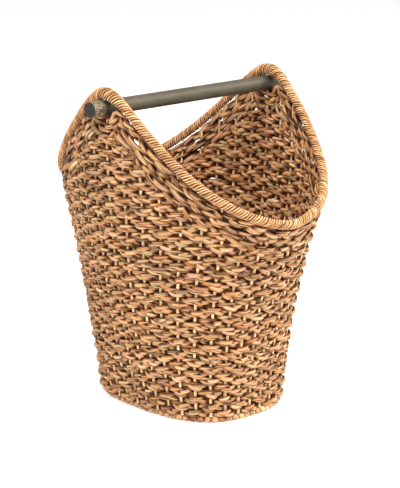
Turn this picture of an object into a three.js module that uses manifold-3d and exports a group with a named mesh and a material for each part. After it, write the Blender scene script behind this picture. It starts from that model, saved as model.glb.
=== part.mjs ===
// Toilet paper basket: an oval woven tub whose rim swings up into two crowns and down into two dips,
// with a loose metal rod that passes through an eye under each crown.
// Millimetres, +Z up. The origin is on the floor under the middle, and X runs along the rod.
import * as THREE from "three";
import Module from "manifold-3d";
import { mergeVertices } from "three/addons/utils/BufferGeometryUtils.js";

const wasm = await Module();
wasm.setup();

// Tub, measured on the middle of its wall
const BASE_HALF_X = 91;
const BASE_HALF_Y = 119;
const CROWN_HALF_X = 142;
const DIP_HALF_Y = 183;
const CROWN_HEIGHT = 420;
const DIP_HEIGHT = 263;
const WALL_THICKNESS = 11.5;

// Shape of the tub: exponents of its oval plan at the floor and at the crowns, and how late the dips flare
const BASE_SQUARENESS = 2.7;
const CROWN_SQUARENESS = 1.6;
const DIP_FLARE = 2.2;

// Shape of the rim: how fast it falls away from a crown, and how round the crown's tip is
const CROWN_STEEPNESS = 3.4;
const CROWN_FALL = 1.57;
const CROWN_ROUNDING = 0.065;

// Uprights that the ropes are woven round
const STAKE_COUNT = 38;
const STAKE_WIDTH = 3.6;
const STAKE_DEPTH = 3.2;
const STAKE_TOP_GAP = 0.5;

// Weave of the side: how far a row stands out where it passes in front of a stake, and how far it lies
// back where it passes behind one
const WEAVE_CREST = 1.2;
const WEAVE_RELIEF = 2.8;

// Rim: a bent hoop with twine wound round it
const HOOP_RADIUS = 3.3;
const HOOP_CLEARANCE = 0.5;
const TWINE_DIAMETER = 2;
const CROWN_LOOPS = 16;
const LOOP_PITCH = 3.2;

// Border: thick ropes that follow the rim, with the ends of the stakes showing in the gap above them
const BORDER_ROPES = 3;
const BORDER_ROPE_HEIGHT = 10.5;
const RIM_GAP = 2;

// Foot and floor
const FOOT_HEIGHT = 8.5;
const FOOT_WIDTH = 9;
const FOOT_INSET = 0.5;
const BASE_MAT_THICKNESS = 6;
const BASE_MAT_LIFT = 2.2;
const BASE_MAT_GROOVES = 9;
const BASE_MAT_GROOVE_PITCH = 22;
const BASE_MAT_GROOVE_DEPTH = 1.8;

// Rod, how far its axis lies below the middle of the rim at the crowns, and its end plugs
const ROD_DIAMETER = 19;
const ROD_WALL = 1.2;
const ROD_LENGTH = 338;
const ROD_DROP = 19.5;
const PLUG_FLANGE = 2.2;
const PLUG_CHAMFER = 0.5;
const PLUG_STEM = 12;

// Eye: how far it opens beside the rod's axis, and how far its sill climbs there
const EYE_HALF_WIDTH = 26;
const EYE_RISE = 20;

// Gap between pieces that touch
const SEAM = 0.3;

// Facets
const OUTLINE_STEPS = 160;
const RIM_POINTS = 96;
const HOOP_STEPS = 96;
const SLEEVE_STEPS = 32;
const LOOP_STEPS = 8;
const TUBE_SIDES = 6;
const TWINE_SIDES = 5;
const SIDE_LEVELS = 4;
const ROWS_PER_LEVEL = 6;
const FOOT_STEPS = 48;
const MAT_STEPS = 48;
const ROD_SIDES = 32;
const BISECTIONS = 40;

const quarterTurn = Math.PI / 2;
const rodRadius = ROD_DIAMETER / 2;
const rodHeight = CROWN_HEIGHT - ROD_DROP;
const twineRadius = TWINE_DIAMETER / 2;
const sleeveInner = (HOOP_RADIUS + HOOP_CLEARANCE) / Math.cos(Math.PI / TUBE_SIDES);
const sleeveOuter = sleeveInner + TWINE_DIAMETER;
const windingRadius = (HOOP_RADIUS + HOOP_CLEARANCE + twineRadius) / Math.cos(Math.PI / LOOP_STEPS);

// Half-widths and exponent of the wall's oval at height z.
function ovalAt(z) {
  const climb = 1 - z / CROWN_HEIGHT;
  return {
    halfX: CROWN_HALF_X - (CROWN_HALF_X - BASE_HALF_X) * climb * Math.abs(climb),
    halfY: BASE_HALF_Y + (DIP_HALF_Y - BASE_HALF_Y) * Math.pow(Math.max(z, 0) / DIP_HEIGHT, DIP_FLARE),
    power: BASE_SQUARENESS + ((CROWN_SQUARENESS - BASE_SQUARENESS) * z) / CROWN_HEIGHT,
  };
}

function ovalPoint(oval, angle) {
  return new THREE.Vector2(
    oval.halfX * Math.pow(Math.max(Math.cos(angle), 0), 2 / oval.power),
    oval.halfY * Math.pow(Math.max(Math.sin(angle), 0), 2 / oval.power),
  );
}

// A quarter of the oval at height z, from the crown's side to the dip's side, with the run of the wall
// up to each of its angles.
const quarters = new Map();
function quarterAt(z) {
  const key = z.toFixed(4);
  if (quarters.has(key)) return quarters.get(key);
  const oval = ovalAt(z);
  const angles = [];
  const runs = [];
  let last = null;
  for (let i = 0; i <= OUTLINE_STEPS; i++) {
    const share = i / OUTLINE_STEPS;
    const angle = quarterTurn * share * share * (3 - 2 * share);
    const point = ovalPoint(oval, angle);
    runs.push(last ? runs[i - 1] + point.distanceTo(last) : 0);
    angles.push(angle);
    last = point;
  }
  const quarter = { oval, angles, runs, length: runs[OUTLINE_STEPS] };
  quarters.set(key, quarter);
  return quarter;
}

function angleAtRun(quarter, run) {
  const { runs, angles, length } = quarter;
  const wanted = THREE.MathUtils.clamp(run, 0, length);
  let low = 0;
  let high = OUTLINE_STEPS;
  while (high - low > 1) {
    const middle = (low + high) >> 1;
    if (runs[middle] <= wanted) low = middle;
    else high = middle;
  }
  const share = (wanted - runs[low]) / (runs[high] - runs[low]);
  return angles[low] + (angles[high] - angles[low]) * share;
}

// Where the line of a stake crosses height z. turn is the share of the way round from the +X crown, and
// shift moves the point along the wall. Above the dips the lines keep their distance from the crown.
function placeOnWall(turn, z, shift = 0) {
  const quarter = quarterAt(z);
  const spread = quarterAt(Math.min(z, DIP_HEIGHT)).length;
  const crown = Math.round(turn * 2) / 2;
  const run = (turn - crown) * 4 * spread + shift;
  const crownSign = Math.round(turn * 2) % 2 === 0 ? 1 : -1;
  const past = Math.abs(run) > quarter.length;
  const angle = angleAtRun(quarter, past ? 2 * quarter.length - Math.abs(run) : Math.abs(run));
  return {
    oval: quarter.oval,
    angle,
    signX: past ? -crownSign : crownSign,
    signY: crownSign * Math.sign(run),
  };
}

// A point at height z, offset outwards from the middle of the wall.
function wallPoint(turn, z, offset = 0, shift = 0) {
  const { oval, angle, signX, signY } = placeOnWall(turn, z, shift);
  const flat = ovalPoint(oval, angle);
  const outward = new THREE.Vector2(
    Math.pow(flat.x / oval.halfX, oval.power - 1) / oval.halfX,
    Math.pow(flat.y / oval.halfY, oval.power - 1) / oval.halfY,
  ).normalize();
  flat.addScaledVector(outward, offset);
  return new THREE.Vector3(signX * flat.x, signY * flat.y, z);
}

// Height of the rim's centreline, as its angle on the oval leaves the crown.
function rimHeightAtAngle(angle) {
  const across = Math.hypot(Math.sin(angle), CROWN_ROUNDING) - CROWN_ROUNDING;
  const near = Math.pow(Math.cos(angle), CROWN_FALL);
  const far = CROWN_STEEPNESS * Math.pow(across, CROWN_FALL);
  return DIP_HEIGHT + ((CROWN_HEIGHT - DIP_HEIGHT) * near) / (near + far);
}

// Height of the rim where it crosses a stake's line, found by halving.
const rimHeights = new Map();
function rimHeight(turn) {
  const key = turn.toFixed(6);
  if (rimHeights.has(key)) return rimHeights.get(key);
  let low = 0;
  let high = 2 * CROWN_HEIGHT;
  for (let i = 0; i < BISECTIONS; i++) {
    const middle = (low + high) / 2;
    if (rimHeightAtAngle(placeOnWall(turn, middle).angle) > middle) low = middle;
    else high = middle;
  }
  rimHeights.set(key, low);
  return low;
}

function rimPoint(turn) {
  return wallPoint(turn, rimHeight(turn));
}

// Drop along Z that moves a point one millimetre away from the sloping rim, whose slope is taken over
// half the distance between two stakes.
function rimSlant(turn) {
  const reach = 1 / (4 * STAKE_COUNT);
  const before = rimPoint(turn - reach);
  const after = rimPoint(turn + reach);
  const run = Math.hypot(after.x - before.x, after.y - before.y);
  return Math.hypot(1, (after.z - before.z) / run);
}

function belowRim(turn, distance) {
  return rimHeight(turn) - rimSlant(turn) * distance;
}

// Floor of the eye: level under the rod, then climbing beside it.
const sillHeight = rodHeight - rodRadius - SEAM;
function eyeSill(turn) {
  const beside = Math.abs(wallPoint(turn, rodHeight).y) - rodRadius;
  const climb = Math.max(beside, 0) / (EYE_HALF_WIDTH - rodRadius);
  return sillHeight + EYE_RISE * climb * climb;
}

// Upper edge of a border rope, counted from the rim down. The last one tops the side of the tub.
function borderEdge(index, turn) {
  const depth = index * BORDER_ROPE_HEIGHT;
  return Math.min(belowRim(turn, sleeveOuter + RIM_GAP + depth), eyeSill(turn) - depth);
}

const sideBottom = FOOT_HEIGHT + SEAM;
function sideLevel(turn, level) {
  const top = borderEdge(BORDER_ROPES, turn) - SEAM;
  return sideBottom + ((top - sideBottom) * level) / SIDE_LEVELS;
}

// Collects corner points and faces of one closed surface.
class Skin {
  constructor() {
    this.points = [];
    this.faces = [];
  }
  add(point) {
    this.points.push(point.x, point.y, point.z);
    return this.points.length / 3 - 1;
  }
  // A flat loop of corners, cut into faces that all meet at its hub.
  fan(loop, hub = loop[0]) {
    const start = loop.indexOf(hub);
    for (let i = 1; i + 1 < loop.length; i++) {
      const [next, after] = [i, i + 1].map((step) => loop[(start + step) % loop.length]);
      this.faces.push(hub, next, after);
    }
  }
  geometry() {
    const made = new THREE.BufferGeometry();
    made.setAttribute("position", new THREE.Float32BufferAttribute(this.points, 3));
    made.setIndex(this.faces);
    made.computeVertexNormals();
    return made;
  }
}

function stakeTurn(index) {
  return index / STAKE_COUNT;
}

// Rings of four corners up a stake, or up its channel through a band, which is wider by a clearance.
const perimeterAtDip = 4 * quarterAt(DIP_HEIGHT).length;
function postRings(skin, turn, heights, clearance = 0) {
  const corners = [
    [-1, 1],
    [1, 1],
    [1, -1],
    [-1, -1],
  ];
  return heights.map((heightAt) =>
    corners.map(([side, face]) => {
      const shift = side * (STAKE_WIDTH / 2 + clearance);
      const z = heightAt(turn + shift / perimeterAtDip);
      return skin.add(wallPoint(turn, z, face * (STAKE_DEPTH / 2 + clearance), shift));
    }),
  );
}

// One face of a band, the outer one where facing is 1 and the inner one where it is -1. Its rows lie back
// where they pass behind a stake, and on the outer face they stand out in front of the others. Only its two
// edges, which are plain, have a point between the stakes as well.
function addBandFace(skin, heightAt, levels, rows, facing) {
  const crest = facing > 0 ? WEAVE_CREST : 0;
  const lines = [];
  for (let row = 0; row <= rows; row++) {
    const isEdge = row === 0 || row === rows;
    const level = (row * levels) / rows;
    const line = { atStakes: [], between: [], liesBack: [] };
    for (let i = 0; i < STAKE_COUNT; i++) {
      const liesBack = !isEdge && (i + row) % 2 === (facing > 0 ? 1 : 0);
      const relief = liesBack ? -WEAVE_RELIEF : crest;
      const offset = facing * (WALL_THICKNESS / 2 + (isEdge ? 0 : relief));
      const turn = stakeTurn(i);
      line.atStakes.push(skin.add(wallPoint(turn, heightAt(turn, level), offset)));
      line.liesBack.push(liesBack);
      if (isEdge) {
        const halfway = stakeTurn(i + 0.5);
        line.between.push(skin.add(wallPoint(halfway, heightAt(halfway, level), offset)));
      }
    }
    lines.push(line);
  }
  for (let row = 0; row < rows; row++) {
    const [low, high] = [lines[row], lines[row + 1]];
    for (let i = 0; i < STAKE_COUNT; i++) {
      const next = (i + 1) % STAKE_COUNT;
      const middles = [low.between[i], high.between[i]].filter((corner) => corner !== undefined);
      const loop = [low.atStakes[i], low.between[i], low.atStakes[next]];
      loop.push(high.atStakes[next], high.between[i], high.atStakes[i]);
      const corners = loop.filter((corner) => corner !== undefined);
      const valley = low.liesBack[i] ? low.atStakes[i] : low.atStakes[next];
      skin.fan(facing > 0 ? corners : corners.reverse(), middles.length > 0 ? middles[0] : valley);
    }
  }
  return { bottom: lines[0], top: lines[rows] };
}

// The lower or upper end of a band, round the mouths of its channels.
function addBandEnd(skin, outer, inner, mouths, isTop) {
  for (let i = 0; i < STAKE_COUNT; i++) {
    const next = (i + 1) % STAKE_COUNT;
    const [leftOut, rightOut, rightIn, leftIn] = mouths[i];
    const [nextOut, , , nextIn] = mouths[next];
    const loops = [
      [outer.between[i], outer.atStakes[next], nextOut, rightOut, outer.atStakes[i]],
      [rightOut, nextOut, nextIn, rightIn],
      [inner.between[i], inner.atStakes[i], rightIn, nextIn, inner.atStakes[next]],
      [outer.atStakes[i], rightOut, leftOut],
      [inner.atStakes[i], leftIn, rightIn],
    ];
    for (const loop of loops) {
      const hub = loop[0];
      skin.fan(isTop ? loop : loop.reverse(), hub);
    }
  }
}

// A band of the wall, with a channel through it for each stake. heightAt(turn, level) gives its levels.
function bandGeometry(heightAt, levels, rowsPerLevel = 1) {
  const skin = new Skin();
  const rows = levels * rowsPerLevel;
  const outer = addBandFace(skin, heightAt, levels, rows, 1);
  const inner = addBandFace(skin, heightAt, levels, rows, -1);
  const heights = Array.from({ length: levels + 1 }, (_, level) => (turn) => heightAt(turn, level));
  const channels = [];
  for (let i = 0; i < STAKE_COUNT; i++) {
    const rings = postRings(skin, stakeTurn(i), heights, SEAM);
    for (let level = 0; level < levels; level++) {
      for (let k = 0; k < 4; k++) {
        const after = (k + 1) % 4;
        skin.fan([rings[level][after], rings[level][k], rings[level + 1][k], rings[level + 1][after]]);
      }
    }
    channels.push(rings);
  }
  const mouthsAt = (level) => channels.map((rings) => rings[level]);
  addBandEnd(skin, outer.bottom, inner.bottom, mouthsAt(0), false);
  addBandEnd(skin, outer.top, inner.top, mouthsAt(levels), true);
  return skin.geometry();
}

function sideWeaveGeometry() {
  return bandGeometry(sideLevel, SIDE_LEVELS, ROWS_PER_LEVEL);
}

function borderRopeGeometry(index) {
  const heightAt = (turn, level) =>
    level === 0 ? borderEdge(index + 1, turn) : borderEdge(index, turn) - (index > 0 ? SEAM : 0);
  return bandGeometry(heightAt, 1);
}

// A stake stands in its channels and ends under the rim, apart from those below the rod, which stop short
// at the eye's sill.
function stakeHeights(turn) {
  const heights = [];
  for (let level = 0; level <= SIDE_LEVELS; level++) heights.push((t) => sideLevel(t, level));
  for (let rope = BORDER_ROPES - 1; rope > 0; rope--) heights.push((t) => borderEdge(rope, t) - SEAM);
  const isUnderRod = Math.abs(wallPoint(turn, rodHeight).y) < EYE_HALF_WIDTH;
  if (isUnderRod) {
    heights.push((t) => borderEdge(0, t) - SEAM);
  } else {
    heights.push((t) => borderEdge(0, t));
    heights.push((t) => belowRim(t, sleeveOuter + STAKE_TOP_GAP));
  }
  return heights;
}

function stakeGeometry(index) {
  const turn = stakeTurn(index);
  const skin = new Skin();
  const rings = postRings(skin, turn, stakeHeights(turn));
  const top = rings.length - 1;
  for (let r = 0; r < top; r++) {
    for (let k = 0; k < 4; k++) {
      const next = (k + 1) % 4;
      skin.fan([rings[r][k], rings[r][next], rings[r + 1][next], rings[r + 1][k]]);
    }
  }
  skin.fan([...rings[0]].reverse());
  skin.fan(rings[top]);
  return skin.geometry();
}

// The foot rope is a closed ring, and its six-sided section has a flat sole half as wide as the rope.
function footGeometry() {
  const half = FOOT_WIDTH / 2;
  const flat = FOOT_WIDTH / 4;
  const section = [
    [flat, 0],
    [half, FOOT_HEIGHT / 2],
    [flat, FOOT_HEIGHT],
    [-flat, FOOT_HEIGHT],
    [-half, FOOT_HEIGHT / 2],
    [-flat, 0],
  ];
  const skin = new Skin();
  const rings = [];
  for (let i = 0; i < FOOT_STEPS; i++) {
    rings.push(
      section.map(([offset, z]) => {
        const floorPoint = wallPoint(i / FOOT_STEPS, 0, offset - FOOT_INSET);
        return skin.add(floorPoint.setZ(z));
      }),
    );
  }
  for (let i = 0; i < FOOT_STEPS; i++) {
    const here = rings[i];
    const next = rings[(i + 1) % FOOT_STEPS];
    for (let k = 0; k < section.length; k++) {
      const after = (k + 1) % section.length;
      skin.fan([here[k], next[k], next[after], here[after]]);
    }
  }
  return skin.geometry();
}

function toSolid(geometry) {
  const bare = geometry.index ? geometry.toNonIndexed() : geometry.clone();
  bare.deleteAttribute("normal");
  bare.deleteAttribute("uv");
  const merged = mergeVertices(bare);
  const vertProperties = merged.attributes.position.array;
  const triVerts = new Uint32Array(merged.index.array);
  return new wasm.Manifold(new wasm.Mesh({ numProp: 3, vertProperties, triVerts }));
}

function toGeometry(solid) {
  const mesh = solid.getMesh();
  const made = new THREE.BufferGeometry();
  made.setAttribute("position", new THREE.Float32BufferAttribute(mesh.vertProperties, 3));
  made.setIndex(Array.from(mesh.triVerts));
  made.computeVertexNormals();
  return made;
}

// The floor mat fits inside the foot rope. Grooves across both of its faces part its ropes.
function baseMatGeometry() {
  const inset = -(FOOT_INSET + FOOT_WIDTH / 2 + SEAM);
  const outline = [];
  for (let i = 0; i < MAT_STEPS; i++) {
    const point = wallPoint(i / MAT_STEPS, 0, inset);
    outline.push(new THREE.Vector2(point.x, point.y));
  }
  const plate = new THREE.ExtrudeGeometry(new THREE.Shape(outline), {
    depth: BASE_MAT_THICKNESS,
    bevelEnabled: false,
  });
  let mat = toSolid(plate);
  const across = 2 * BASE_HALF_X;
  for (let i = 0; i < BASE_MAT_GROOVES; i++) {
    const y = (i - (BASE_MAT_GROOVES - 1) / 2) * BASE_MAT_GROOVE_PITCH;
    for (const z of [0, BASE_MAT_THICKNESS]) {
      const groove = new THREE.BoxGeometry(across, BASE_MAT_GROOVE_DEPTH, BASE_MAT_GROOVE_DEPTH);
      groove.rotateX(quarterTurn / 2).scale(1, 2, Math.SQRT2).translate(0, y, z);
      mat = mat.subtract(toSolid(groove));
    }
  }
  return toGeometry(mat).translate(0, 0, BASE_MAT_LIFT);
}

// The rim's centreline, as one closed curve that starts at the +X crown.
const rimCurve = new THREE.CatmullRomCurve3(
  Array.from({ length: RIM_POINTS }, (_, i) => rimPoint(i / RIM_POINTS)),
  true,
  "centripetal",
);
rimCurve.arcLengthDivisions = OUTLINE_STEPS * TUBE_SIDES;
const rimLength = rimCurve.getLength();

// A stretch of the rim between two distances from the +X crown.
class RimStretch extends THREE.Curve {
  constructor(from, to) {
    super();
    this.from = from;
    this.to = to;
  }
  getPoint(t, target = new THREE.Vector3()) {
    const along = (this.from + (this.to - this.from) * t) / rimLength;
    return target.copy(rimCurve.getPointAt(along - Math.floor(along)));
  }
}

// Twine that winds round the hoop over a crown. share runs from 0 to 1 over its loops, and lead is how far
// a point lies beyond them, on an end that runs straight along the hoop.
function windingPoint(crownDistance, share, lead = 0) {
  const loops = (share - 0.5) * CROWN_LOOPS;
  const along = (crownDistance + loops * LOOP_PITCH + lead) / rimLength;
  const centre = rimCurve.getPointAt(along - Math.floor(along));
  const tangent = rimCurve.getTangentAt(along - Math.floor(along));
  const outward = new THREE.Vector3(centre.x, 0, 0).normalize();
  outward.addScaledVector(tangent, -outward.dot(tangent)).normalize();
  const upward = tangent.clone().cross(outward);
  const angle = loops * 2 * Math.PI;
  const radial = outward.multiplyScalar(Math.cos(angle)).addScaledVector(upward, Math.sin(angle));
  return { radial, point: centre.addScaledVector(radial, windingRadius) };
}

function windingPath(crownDistance, steps) {
  const path = [windingPoint(crownDistance, 0, -TWINE_DIAMETER)];
  for (let i = 0; i <= steps; i++) path.push(windingPoint(crownDistance, i / steps));
  path.push(windingPoint(crownDistance, 1, TWINE_DIAMETER));
  return path;
}

function windingGeometry(crownDistance) {
  const path = windingPath(crownDistance, CROWN_LOOPS * LOOP_STEPS);
  const last = path.length - 1;
  const skin = new Skin();
  const rings = path.map(({ point, radial }, i) => {
    const before = path[Math.max(i - 1, 0)].point;
    const after = path[Math.min(i + 1, last)].point;
    const forward = after.clone().sub(before).normalize();
    const sideways = forward.clone().cross(radial).normalize();
    const outward = sideways.clone().cross(forward);
    return Array.from({ length: TWINE_SIDES }, (_, k) => {
      const angle = (k / TWINE_SIDES) * 2 * Math.PI;
      const corner = point.clone().addScaledVector(outward, twineRadius * Math.cos(angle));
      return skin.add(corner.addScaledVector(sideways, twineRadius * Math.sin(angle)));
    });
  });
  for (let i = 0; i < last; i++) {
    for (let k = 0; k < TWINE_SIDES; k++) {
      const next = (k + 1) % TWINE_SIDES;
      skin.fan([rings[i][k], rings[i][next], rings[i + 1][next], rings[i + 1][k]]);
    }
  }
  skin.fan([...rings[0]].reverse());
  skin.fan(rings[last]);
  return skin.geometry();
}

// Least gap between neighbouring loops of a winding, on points along it.
function leastLoopGap(crownDistance) {
  const samplesPerLoop = 24;
  const points = windingPath(crownDistance, CROWN_LOOPS * samplesPerLoop).map(({ point }) => point);
  let least = Infinity;
  for (let i = 0; i < points.length; i++) {
    for (let j = i + samplesPerLoop / 2; j < points.length; j++) {
      least = Math.min(least, points[i].distanceTo(points[j]));
    }
  }
  return least - TWINE_DIAMETER;
}

function ringShape(radius, sides) {
  const shape = new THREE.Shape();
  for (let i = 0; i < sides; i++) {
    const angle = (i / sides) * 2 * Math.PI;
    const x = radius * Math.cos(angle);
    const y = radius * Math.sin(angle);
    if (i === 0) shape.moveTo(x, y);
    else shape.lineTo(x, y);
  }
  shape.closePath();
  return shape;
}

function tubeGeometry(curve, shape, steps) {
  return new THREE.ExtrudeGeometry(shape, { steps, extrudePath: curve, bevelEnabled: false });
}

// The hoop is one bent length, whose ends butt together half way down one side of a crown.
function hoopGeometry() {
  const joint = rimLength / 8;
  const path = new RimStretch(joint + SEAM / 2, joint + rimLength - SEAM / 2);
  return tubeGeometry(path, ringShape(HOOP_RADIUS, TUBE_SIDES), HOOP_STEPS);
}

const windingHalf = (CROWN_LOOPS * LOOP_PITCH) / 2 + TWINE_DIAMETER;
function sleeveGeometry(crownDistance) {
  const clear = windingHalf + SEAM;
  const path = new RimStretch(crownDistance + clear, crownDistance + rimLength / 2 - clear);
  const shape = ringShape(sleeveOuter, TUBE_SIDES);
  shape.holes.push(ringShape(sleeveInner, TUBE_SIDES));
  return tubeGeometry(path, shape, SLEEVE_STEPS);
}

// The rod is a tube, and a plug closes each of its ends.
const rodBore = rodRadius - ROD_WALL;
function rodTubeGeometry() {
  const half = ROD_LENGTH / 2 - PLUG_FLANGE - SEAM;
  const profile = [
    new THREE.Vector2(rodBore, -half),
    new THREE.Vector2(rodRadius, -half),
    new THREE.Vector2(rodRadius, half),
    new THREE.Vector2(rodBore, half),
    new THREE.Vector2(rodBore, -half),
  ];
  return new THREE.LatheGeometry(profile, ROD_SIDES);
}

function rodPlugGeometry() {
  const end = ROD_LENGTH / 2;
  const stem = rodBore - SEAM;
  const profile = [
    new THREE.Vector2(0, end - PLUG_FLANGE - PLUG_STEM),
    new THREE.Vector2(stem, end - PLUG_FLANGE - PLUG_STEM),
    new THREE.Vector2(stem, end - PLUG_FLANGE),
    new THREE.Vector2(rodRadius, end - PLUG_FLANGE),
    new THREE.Vector2(rodRadius, end - PLUG_CHAMFER),
    new THREE.Vector2(rodRadius - PLUG_CHAMFER, end),
    new THREE.Vector2(0, end),
  ];
  return new THREE.LatheGeometry(profile, ROD_SIDES);
}

const finishes = {
  rope: { color: 0xb98f62, roughness: 0.85, metalness: 0 },
  twine: { color: 0xcda878, roughness: 0.8, metalness: 0 },
  stake: { color: 0xc9ab80, roughness: 0.75, metalness: 0 },
  hoop: { color: 0x8a6a48, roughness: 0.8, metalness: 0 },
  rod: { color: 0x6b6757, roughness: 0.4, metalness: 0.8 },
  plug: { color: 0x3a3d40, roughness: 0.5, metalness: 0 },
};

function addPiece(parent, name, geometry, finish) {
  const mesh = new THREE.Mesh(geometry, new THREE.MeshStandardMaterial(finishes[finish]));
  mesh.name = name;
  parent.add(mesh);
  return mesh;
}

const basket = new THREE.Group();

addPiece(basket, "base_mat", baseMatGeometry(), "rope");
addPiece(basket, "foot_rope", footGeometry(), "rope");
addPiece(basket, "side_weave", sideWeaveGeometry(), "rope");
for (let rope = 0; rope < BORDER_ROPES; rope++) {
  addPiece(basket, "border_rope_" + (rope + 1), borderRopeGeometry(rope), "rope");
}
for (let i = 0; i < STAKE_COUNT; i++) {
  addPiece(basket, "stake_" + String(i + 1).padStart(2, "0"), stakeGeometry(i), "stake");
}
addPiece(basket, "rim_hoop", hoopGeometry(), "hoop");
addPiece(basket, "rim_binding_back", sleeveGeometry(0), "twine");
addPiece(basket, "rim_binding_front", sleeveGeometry(rimLength / 2), "twine");
addPiece(basket, "rim_winding_far", windingGeometry(0), "twine");
addPiece(basket, "rim_winding_near", windingGeometry(rimLength / 2), "twine");

// The rod's own axis is the lathe's Y axis, turned to lie along X.
const rod = new THREE.Group();
rod.position.z = rodHeight;
rod.rotation.z = -quarterTurn;
basket.add(rod);
addPiece(rod, "rod_tube", rodTubeGeometry(), "rod");
addPiece(rod, "rod_plug_far", rodPlugGeometry(), "plug");
addPiece(rod, "rod_plug_near", rodPlugGeometry(), "plug").rotation.z = Math.PI;

console.log("least gap between loops of a winding:", leastLoopGap(0).toFixed(2), "mm");

export default basket;
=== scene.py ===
"""Toilet paper basket: an oval tub woven from leaf rope, with a metal rod through its two crowns."""

import math
import random

import bpy
import numpy as np
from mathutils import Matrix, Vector


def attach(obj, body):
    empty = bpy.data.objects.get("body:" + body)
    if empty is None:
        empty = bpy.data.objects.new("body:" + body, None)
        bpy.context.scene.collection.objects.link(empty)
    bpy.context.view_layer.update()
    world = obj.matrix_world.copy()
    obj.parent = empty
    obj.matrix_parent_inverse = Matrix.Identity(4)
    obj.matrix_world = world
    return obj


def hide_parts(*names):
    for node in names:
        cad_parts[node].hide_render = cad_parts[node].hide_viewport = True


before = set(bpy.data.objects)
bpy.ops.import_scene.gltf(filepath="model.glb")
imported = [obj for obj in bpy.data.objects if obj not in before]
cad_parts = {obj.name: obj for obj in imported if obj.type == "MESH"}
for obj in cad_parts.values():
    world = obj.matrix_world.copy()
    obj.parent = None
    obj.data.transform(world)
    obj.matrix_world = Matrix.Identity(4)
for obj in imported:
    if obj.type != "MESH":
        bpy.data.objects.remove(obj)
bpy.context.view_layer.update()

MM = 0.001

# Tub, measured on the middle of its wall
BASE_HALF_X = 91 * MM
BASE_HALF_Y = 119 * MM
CROWN_HALF_X = 142 * MM
DIP_HALF_Y = 183 * MM
CROWN_HEIGHT = 420 * MM
DIP_HEIGHT = 263 * MM
BASE_SQUARENESS = 2.7
CROWN_SQUARENESS = 1.6
DIP_FLARE = 2.2
CROWN_STEEPNESS = 3.4
CROWN_FALL = 1.57
CROWN_ROUNDING = 0.065
OUTLINE_STEPS = 160
LEAN_REACH = 1 * MM

# Rows of rope woven round the stakes
STAKES = 38
STEPS_PER_STAKE = 8
SIDE_BANDS = 6
FIRST_ROW = 12 * MM
ROWS_TOP = 379 * MM
ROW_PITCH = 8.4 * MM
ROW_PLIES = 3
ROW_DEPTH = 8 * MM
ROW_HEIGHT = 12 * MM
ROW_LAY = 62 * MM
ROW_SWING = 3.2 * MM
ROW_SQUEEZE = 0.05
ROW_SHIFT = 0.7 * MM
ROW_BULGE = 0.1
ROW_STAGGER = 7
ROW_END_TUCK = 0.7

# How the rows stray from level: a sag towards the dips, a tilt, and an arch under the eyes
ROW_SAG = 14 * MM
SAG_FULL_HEIGHT = 110 * MM
SAG_START = 0.25
ROW_TILT = 7 * MM
TILT_FULL_HEIGHT = 60 * MM
TILT_TURN = 0.61
ROW_ARCH = 9 * MM
ARCH_TOP = CROWN_HEIGHT - 60 * MM
ARCH_FADE = 40 * MM
ARCH_REACH = 0.25
ARCH_LIMIT = 1.5

# Border ropes along the rim
BORDER_ROPES = 3
BORDER_PITCH = 10.5 * MM
BORDER_DEPTH = 9.4 * MM
BORDER_HEIGHT = 12.8 * MM
BORDER_LAY = 74 * MM
BORDER_SWING = 1.8 * MM
BORDER_SHIFT = 0.7 * MM
BORDER_LIFT = 1.2 * MM
BORDER_START = 5
BORDER_STAGGER = 11

# Uprights, which lean back behind the border and are thinner there
UPRIGHT_DEPTH = 4.2 * MM
UPRIGHT_WIDTH = 4.4 * MM
UPRIGHT_LEAN = 1.5 * MM
UPRIGHT_TUCK = 1 * MM
UPRIGHT_THINNED = 0.6
UPRIGHT_POINTS = 40

# Rim and its twine
RIM_RADIUS = 6.4 * MM
RIM_GAP = 2 * MM
RIM_STEPS = 720
RIM_MARGIN = 1 * MM
RIM_HALVINGS = 24
TWINE_STRANDS = 5
TWINE_PITCH = 3.7 * MM
TWINE_STEPS = 13
TWINE_RADIUS = 1.4 * MM
TWINE_LIE = 4.7 * MM
TWINE_CLEARANCE = 0.5 * MM
CROWN_FILL = 4.2 * MM
CROWN_FILL_FROM = 0.012
CROWN_FILL_TO = 0.032

# Foot and floor of the tub
FOOT_HEIGHT = 8.5 * MM
FOOT_WIDTH = 9 * MM
FOOT_INSET = 0.5 * MM
BEADS_PER_STAKE = 2
STEPS_PER_BEAD = 8
BEAD_PINCH = 0.8
BEAD_SQUEEZE = 0.98
FLOOR_HEIGHT = 5.2 * MM
FLOOR_DEPTH = 4.6 * MM
FLOOR_WIDTH = 16.5 * MM
FLOOR_PITCH = 11 * MM
FLOOR_SWING = 1.1 * MM
FLOOR_STEP = 4 * MM
FLOOR_LEAST_POINTS = 4
FLOOR_INSET = 2 * MM

# Rod
ROD_RADIUS = 9.5 * MM
ROD_HEIGHT = CROWN_HEIGHT - 19.5 * MM
EYE_HALF_WIDTH = 26 * MM
EYE_RISE = 20 * MM
SEAM = 0.3 * MM

# Number of the first rope of each piece, which sets where its noise starts
BORDER_NUMBER = 70
UPRIGHT_NUMBER = 80
FOOT_NUMBER = 90
FLOOR_NUMBER = 100


# The wall
# A turn is a share of the way round the tub, from the far crown.


def oval_at(z):
    """Half-widths and exponent of the wall's oval at height z."""
    climb = 1 - z / CROWN_HEIGHT
    half_x = CROWN_HALF_X - (CROWN_HALF_X - BASE_HALF_X) * climb * abs(climb)
    half_y = BASE_HALF_Y + (DIP_HALF_Y - BASE_HALF_Y) * (max(z, 0) / DIP_HEIGHT) ** DIP_FLARE
    power = BASE_SQUARENESS + (CROWN_SQUARENESS - BASE_SQUARENESS) * z / CROWN_HEIGHT
    return half_x, half_y, power


quarters = {}


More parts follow.
